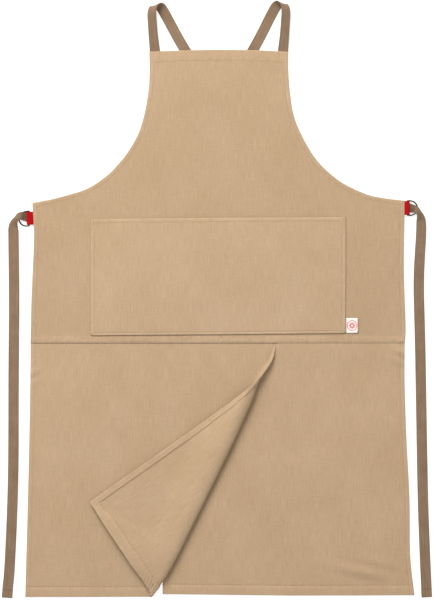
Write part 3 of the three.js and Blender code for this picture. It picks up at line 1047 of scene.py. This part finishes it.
left_outer = [(-0.3384, LEG_TOP), (-0.3389, -0.1495), (-0.3423, -0.321), (-0.3480, -0.5350)]
left_leg = Panel(
    "canvas_left_leg",
    [
        (spline(left_outer, 80), SIDE_HEM),
        ([(-0.3480, -0.5350), (-0.12, -0.5345), SLIT_FOOT], BOTTOM_HEM),
        ([SLIT_FOOT, SLIT_TOP], SLIT_HEM),
        ([SLIT_TOP, (-0.3384, LEG_TOP)], 0),
    ],
    LEFT_LEG_Z,
    body_lines=[([tuple(FOLD_START - 0.01 * FOLD_HEADING), tuple(FOLD_START + 0.49 * FOLD_HEADING)],
                 [-0.0215 + 0.0013 * k for k in range(48)])],
    fold=fold_corner,
)
left_piece = left_leg.build(LEG_CANVAS)
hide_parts("left_leg_panel", "left_leg_folded_corner")

right_outer = [(0.3524, -0.532), (0.3448, -0.460), (0.3434, -0.356), (0.338, -0.253), (0.3346, -0.1495),
               (0.3346, LEG_TOP)]
UNDERLAP = -0.1008


def right_top_rise(points):
    """Beside the slit the right leg panel comes up to the waist seam."""
    beside = smooth((points[:, 0] - 0.100) / 0.012)
    return (0.0003 + 0.0011 * beside) * smooth((points[:, 1] + 0.135) / 0.05)


right_leg = Panel(
    "canvas_right_leg",
    [
        ([(UNDERLAP, LEG_TOP), (UNDERLAP, -0.530)], SLIT_HEM),
        ([(UNDERLAP, -0.530), (0.13, -0.5325), (0.3524, -0.532)], BOTTOM_HEM),
        (spline(right_outer, 80), SIDE_HEM),
        ([(0.3346, LEG_TOP), (UNDERLAP, LEG_TOP)], 0),
    ],
    RIGHT_LEG_Z,
    extra=right_top_rise,
)
right_piece = right_leg.build(LEG_CANVAS)
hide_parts("right_leg_panel")
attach(right_piece, "right_leg")

left_stitches = stitches("left_leg_stitching", stitch_runs(left_leg, hem_lines(left_leg)), THREAD_CANVAS)
right_stitches = stitches("right_leg_stitching", stitch_runs(right_leg, hem_lines(right_leg)), THREAD_CANVAS)
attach(right_stitches, "right_leg")
for piece in (left_piece, left_stitches):
    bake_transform(piece)

# ---------------------------------------------------------------- webbing


def ribbon(name, place, lengths, width, thick, ribs, rib_depth, material, shade=None):
    """A woven strip with rounded edges. place(run, across) gives points and normals of its middle.

    shade(run) says how much darker the strip is painted along its length: painted shade where it lies inside
    its ring.
    """
    edge = thick / 2
    flat_half = width / 2 - edge
    across_top = np.linspace(-flat_half, flat_half, 4 * ribs + 1)
    ridge = rib_depth * np.cos(np.linspace(0, 2 * np.pi * ribs, 4 * ribs + 1))
    section = [(q, edge + r) for q, r in zip(across_top, ridge)]
    section += [(flat_half + edge * np.sin(a), edge * np.cos(a)) for a in (0.8, 1.57, 2.34)]
    section += [(q, -edge - r) for q, r in zip(across_top[::-1], ridge[::-1])]
    section += [(-flat_half - edge * np.sin(a), -edge * np.cos(a)) for a in (0.8, 1.57, 2.34)]
    section = np.array(section)
    count, around = len(lengths), len(section)
    run = np.repeat(lengths, around)
    q = np.tile(section[:, 0], count)
    b = np.tile(section[:, 1], count)
    centre, normal = place(run, q)
    vertices = centre + normal * b[:, None] + CENTRE
    vertices[:, 2] = np.maximum(vertices[:, 2], FLOOR_GAP)
    faces = []
    for i in range(count - 1):
        for k in range(around):
            p = i * around + k
            r = i * around + (k + 1) % around
            faces.append((p, r, r + around, p + around))
    faces.append(tuple(reversed(range(around))))
    faces.append(tuple((count - 1) * around + k for k in range(around)))
    flat = np.column_stack([q, run, np.zeros(len(q))])
    tint = None if shade is None else shade(run)
    return make_object(name, vertices, faces, material, flat, tint)


class Route:
    """A strip's middle line with its own width direction, width and arch at each place."""

    def __init__(self, stations, detail=40):
        """Each station is (x, y, z, width x, y, z, width share, arch)."""
        stations = np.array(stations, float)
        self.fine = spline(stations, detail * len(stations)) if detail > 1 else stations
        self.at = run_lengths(self.fine)
        self.length = self.at[-1]

    def values(self, run):
        return np.column_stack([np.interp(run, self.at, self.fine[:, k]) for k in range(8)])

    def place(self, run, q):
        v = self.values(run)
        step = 0.0016
        heading = normed(self.values(run + step)[:, :3] - self.values(run - step)[:, :3])
        w = v[:, 3:6]
        w = normed(w - heading * np.sum(w * heading, axis=1)[:, None])
        normal = np.cross(w, heading)
        bow = v[:, 7] * (1 - (2 * q / WEBBING_WIDTH) ** 2)
        return v[:, :3] + w * (q * v[:, 6])[:, None] + normal * bow[:, None], normal


# The two edges of a strap from its bib corner over its soft turn, in mm: x outwards from the centre
# line, y and z of the outer edge, then of the inner edge
STRAP_EDGES = np.array([
    (124.0, 430.8, 2.2, 105.2, 430.8, 2.2),
    (124.1, 445.7, 3.0, 105.3, 445.7, 3.0),
    (125.0, 461.3, 6.0, 107.2, 461.3, 6.3),
    (126.0, 476.8, 9.0, 109.1, 476.8, 9.6),
    (127.2, 496.2, 12.6, 110.6, 496.1, 13.8),
    (127.9, 508.9, 14.6, 111.4, 508.6, 16.8),
    (126.9, 516.8, 15.2, 111.3, 517.7, 18.6),
    (124.1, 522.7, 14.0, 109.8, 525.7, 18.0),
    (120.8, 525.3, 10.8, 106.6, 529.8, 14.6),
    (117.6, 525.4, 7.0, 102.1, 531.5, 9.6),
    (113.9, 523.2, 3.8, 97.5, 530.4, 5.4),
    (110.2, 519.0, 2.0, 93.1, 526.7, 2.8),
    (105.0, 510.0, 1.2, 88.3, 518.9, 1.5),
    (97.0, 495.2, 1.0, 80.3, 504.2, 1.0),
    (89.0, 480.2, 1.0, 72.3, 489.2, 1.0),
]) / 1000
STRAPS = {
    "left": {"out": -1, "lift": 0.0, "aside": 0.0, "hop": 0.0},
    "right": {"out": 1, "lift": 0.0036, "aside": 0.0010, "hop": 0.0021},
}


def shoulder_strap(side):
    """A strap from its bib corner, round the soft turn above the bib and across the back."""
    info = STRAPS[side]
    out = info["out"]
    ring = ring_spots["right" if side == "left" else "left"]
    edges = STRAP_EDGES.copy()
    raised = smooth((edges[:, 1:2] - 0.446) / 0.07) * info["lift"]
    edges[:, [1, 4]] += raised
    edges[:, [0, 3]] = out * (edges[:, [0, 3]] + info["aside"])
    fine = spline(edges, 260)
    outer, inner = fine[:, :3], fine[:, 3:]
    turn = (outer + inner) / 2
    across = outer - inner
    fall = turn[-1] - turn[-4]
    fall /= np.linalg.norm(fall)
    end = np.array([ring[0] - np.sign(ring[0]) * 0.0015, ring[1] + 0.001])
    start = turn[-1, :2]
    back = bezier(start, start + fall[:2] * 0.21, end - np.array([-out * 0.138, 0.006]), end, 160)[4:]
    beside = np.column_stack([leftward(back), np.zeros(len(back))])
    if beside[0] @ across[-1] < 0:
        beside = -beside
    back_at = run_lengths(back) / 0.62
    z = turn[-1, 2] + info["hop"] * bell(back_at - 0.37, 0.055)
    centre = np.vstack([turn, np.column_stack([back, z])])
    width = np.vstack([across, beside * WEBBING_WIDTH])
    share = np.linalg.norm(width, axis=1) / WEBBING_WIDTH
    arch = np.zeros(len(centre))
    stations = np.column_stack([centre, normed(width), share, arch])
    route = Route(stations, 1)
    turn_length = run_lengths(turn)[-1]
    lengths = np.concatenate([
        np.arange(0, 0.045, 0.003),
        np.arange(0.045, turn_length - 0.01, 0.0012),
        np.arange(turn_length - 0.01, route.length - 0.002, 0.0032),
        [route.length],
    ])
    piece = ribbon(f"webbing_{side}_strap", route.place, lengths, WEBBING_WIDTH, WEBBING_THICK,
                   WEBBING_RIBS, RIB_DEPTH, WEBBING)
    return piece, route.length


LEFT_TAIL = [
    (-0.3386, 0.1474, 0.0010, 0.0, 1.0, 0.0, 1.0, 0.0),
    (-0.3425, 0.1483, 0.0014, 0.0, 1.0, 0.0, 0.96, 0.0),
    (-0.3480, 0.1495, 0.0032, 0.10, 1.0, 0.0, 0.86, 0.0006),
    (-0.3570, 0.1500, 0.0066, 0.35, 0.94, 0.0, 0.74, 0.0012),
    (-0.3635, 0.1452, 0.0056, -0.30, 0.90, -0.15, 0.56, 0.0022),
    (-0.3680, 0.1385, 0.0030, -0.85, 0.52, -0.10, 0.72, 0.0016),
    (-0.3697, 0.1290, 0.0012, -1.0, 0.12, 0.0, 0.93, 0.0005),
    (-0.3692, 0.1100, 0.0012, -1.0, 0.0, 0.0, 1.0, 0.0),
    (-0.3681, 0.0000, 0.0012, -1.0, 0.0, 0.0, 1.0, 0.0),
    (-0.3690, -0.1360, 0.0012, -1.0, 0.0, 0.0, 1.0, 0.0),
    (-0.3700, -0.3250, 0.0012, -1.0, 0.0, 0.0, 1.0, 0.0),
    (-0.3756, -0.4690, 0.0012, -1.0, 0.04, 0.0, 1.0, 0.0),
    (-0.3796, -0.5200, 0.0024, -1.0, 0.06, 0.0, 1.0, 0.0),
    (-0.3807, -0.5350, 0.0025, -1.0, 0.06, 0.0, 1.0, 0.0),
]
RIGHT_TAIL = [
    (0.3371, 0.1651, 0.0010, 0.0, -1.0, 0.0, 0.94, 0.0),
    (0.3412, 0.1650, 0.0014, 0.0, -1.0, 0.0, 0.88, 0.0),
    (0.3475, 0.1640, 0.0034, 0.05, -1.0, 0.0, 0.80, 0.0010),
    (0.3552, 0.1615, 0.0066, 0.10, -1.0, 0.0, 0.66, 0.0018),
    (0.3600, 0.1560, 0.0056, -0.52, -0.84, 0.12, 0.56, 0.0022),
    (0.3632, 0.1490, 0.0032, -0.90, -0.40, 0.08, 0.76, 0.0016),
    (0.3645, 0.1390, 0.0012, -1.0, -0.10, 0.0, 0.92, 0.0006),
    (0.3643, 0.1150, 0.0012, -1.0, 0.0, 0.0, 0.98, 0.0),
    (0.3603, 0.0300, 0.0012, -1.0, 0.0, 0.0, 1.0, 0.0),
    (0.3629, -0.0910, 0.0012, -1.0, 0.0, 0.0, 1.0, 0.0),
    (0.3670, -0.3250, 0.0012, -1.0, 0.0, 0.0, 1.0, 0.0),
    (0.3702, -0.4330, 0.0011, -1.0, 0.0, 0.0, 1.0, 0.0),
    (0.3738, -0.5190, 0.0024, -1.0, 0.03, 0.0, 1.0, 0.0),
    (0.3746, -0.5340, 0.0025, -1.0, 0.03, 0.0, 1.0, 0.0),
]
strap_stitch_runs = {"left": [], "right": []}


def build_tail(side, stations):
    route = Route(stations)
    tail_end = route.length
    bend = WEBBING_THICK * 0.56

    def painted_ring_shade(run):
        """Painted shade at the start, where the strap lies in shadow inside its ring."""
        return -0.55 * smooth((0.0195 - run) / 0.005)

    def place(run, q):
        """Past the end the strip turns under itself and runs back."""
        past = np.clip(run - tail_end, 0, None)
        turn = np.clip(past / bend, 0, np.pi)
        back = np.clip(past - np.pi * bend, 0, None)
        anchor = np.where(run > tail_end, tail_end - back, run)
        centre, normal = route.place(anchor, q)
        final = route.values(np.full(len(run), tail_end))[:, :3]
        before = route.values(np.full(len(run), tail_end - 0.002))[:, :3]
        heading = normed(final - before)
        shift = heading * (bend * np.sin(turn))[:, None] - normal * (bend * (1 - np.cos(turn)))[:, None]
        turned = normal * np.cos(turn)[:, None] + heading * np.sin(turn)[:, None]
        return centre + shift, turned

    lengths = np.concatenate([
        np.arange(0, 0.075, 0.0012),
        np.arange(0.075, tail_end - 0.0005, 0.0034),
        tail_end + np.linspace(0, np.pi * bend, 9),
        tail_end + np.pi * bend + np.arange(0.002, TAIL_HEM, 0.003),
    ])
    piece = ribbon(f"webbing_{side}_tail", place, lengths, WEBBING_WIDTH, WEBBING_THICK, WEBBING_RIBS,
                   RIB_DEPTH, WEBBING, painted_ring_shade)
    for back in (0.0125, 0.0140):
        q = np.arange(-0.0085, 0.0086, 0.0029)
        centre, normal = place(np.full(len(q), tail_end - back), q)
        strap_stitch_runs[side].append((centre + normal * (WEBBING_THICK / 2), normal))
    return piece, lengths[-1]


for side, stations in (("left", LEFT_TAIL), ("right", RIGHT_TAIL)):
    strap, strap_length = shoulder_strap(side)
    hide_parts(f"{side}_strap")
    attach(strap, "apron_body")
    tail, tail_length = build_tail(side, stations)
    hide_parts(f"{side}_strap_tail", f"{side}_ring_strap_turn")
    tacks = stitches(f"{side}_tail_stitching", strap_stitch_runs[side], THREAD_WEBBING)
    for piece in (tail, tacks):
        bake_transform(piece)

# ---------------------------------------------------------------- rings and their tabs


def d_ring(side):
    """A wire bent into a D: a straight bar, two short shoulders and a round bow."""
    out = -1 if side == "left" else 1
    spot = ring_spots[side]
    shoulder = RING_HALF_WIDTH - RING_CORNER
    quarter = np.pi / 2
    line = np.vstack([
        arc((RING_CORNER, -shoulder), RING_CORNER, 2 * quarter, 3 * quarter, 9),
        arc((RING_DEPTH - RING_HALF_WIDTH, 0.0), RING_HALF_WIDTH, -quarter, quarter, 41),
        arc((RING_CORNER, shoulder), RING_CORNER, quarter, 2 * quarter, 9),
    ])
    line = evenly(np.vstack([line, line[:1]]), 0.0011)[:-1]
    tilt = np.radians(-9 if side == "left" else -4)
    turned = np.column_stack([
        line[:, 0] * np.cos(tilt) - line[:, 1] * np.sin(tilt),
        line[:, 0] * np.sin(tilt) + line[:, 1] * np.cos(tilt),
    ])
    turned = line + (turned - line) * smooth(line[:, 0:1] / 0.006)
    sides = 14
    vertices, faces = [], []
    count = len(turned)
    along = normed(np.roll(turned, -1, axis=0) - np.roll(turned, 1, axis=0))
    for p, a in zip(turned, along):
        beside = np.array([-a[1], a[0]])
        for k in range(sides):
            angle = 2 * np.pi * k / sides
            xy = p + beside * np.cos(angle) * WIRE / 2
            vertices.append((spot[0] + out * xy[0], spot[1] + xy[1], RING_Z + np.sin(angle) * WIRE / 2))
    for i in range(count):
        for k in range(sides):
            a, b = i * sides + k, i * sides + (k + 1) % sides
            c, d = ((i + 1) % count) * sides + (k + 1) % sides, ((i + 1) % count) * sides + k
            faces.append((a, b, c, d) if out < 0 else (d, c, b, a))
    return make_object(f"wire_{side}_ring", np.array(vertices) + CENTRE, faces, METAL)


def ring_tab(side):
    """A ribbon folded round the ring's bar, both ends under the body panel's hem."""
    out = -1 if side == "left" else 1
    spot = ring_spots[side]
    round_bar = WIRE / 2 + RIBBON_THICK / 2 + 0.0002
    under = -0.016
    profile = [(under, 0.0031), (-0.009, 0.0033), (-0.0052, 0.0044), (0.0, RING_Z + round_bar)]
    profile += list(arc((TAB_SLACK, RING_Z), round_bar, 1.5, -1.5, 13))
    profile += [(0.0, RING_Z - round_bar), (-0.0052, 0.0024), (-0.009, 0.0020), (under, 0.0019)]
    skew = 0.10 if side == "right" else -0.03
    route = Route([(spot[0] + out * x, spot[1], z, 0.0, 1.0, 0.0, 1.0, 0.0) for x, z in profile])
    width = TAB_WIDTH[side]

    def place(run, q):
        v = route.values(run)
        heading = normed(route.values(run + 0.0003)[:, :3] - route.values(run - 0.0003)[:, :3])
        w = np.tile([0.0, 1.0, 0.0], (len(run), 1))
        normal = np.cross(heading, w) * -out
        centre = v[:, :3] + w * q[:, None]
        centre[:, 1] += skew * (out * (v[:, 0] - spot[0]))
        return centre, normal

    lengths = np.arange(0, route.length, 0.0006)
    piece = ribbon(f"ribbon_{side}_tab", place, lengths, width, RIBBON_THICK, 4, 0.0, RED_RIBBON)
    return piece


for side in ("left", "right"):
    ring_piece = d_ring(side)
    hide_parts(f"{side}_d_ring")
    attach(ring_piece, f"{side}_ring")
    tab_piece = ring_tab(side)
    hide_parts(f"{side}_ring_tab")
    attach(tab_piece, "apron_body")
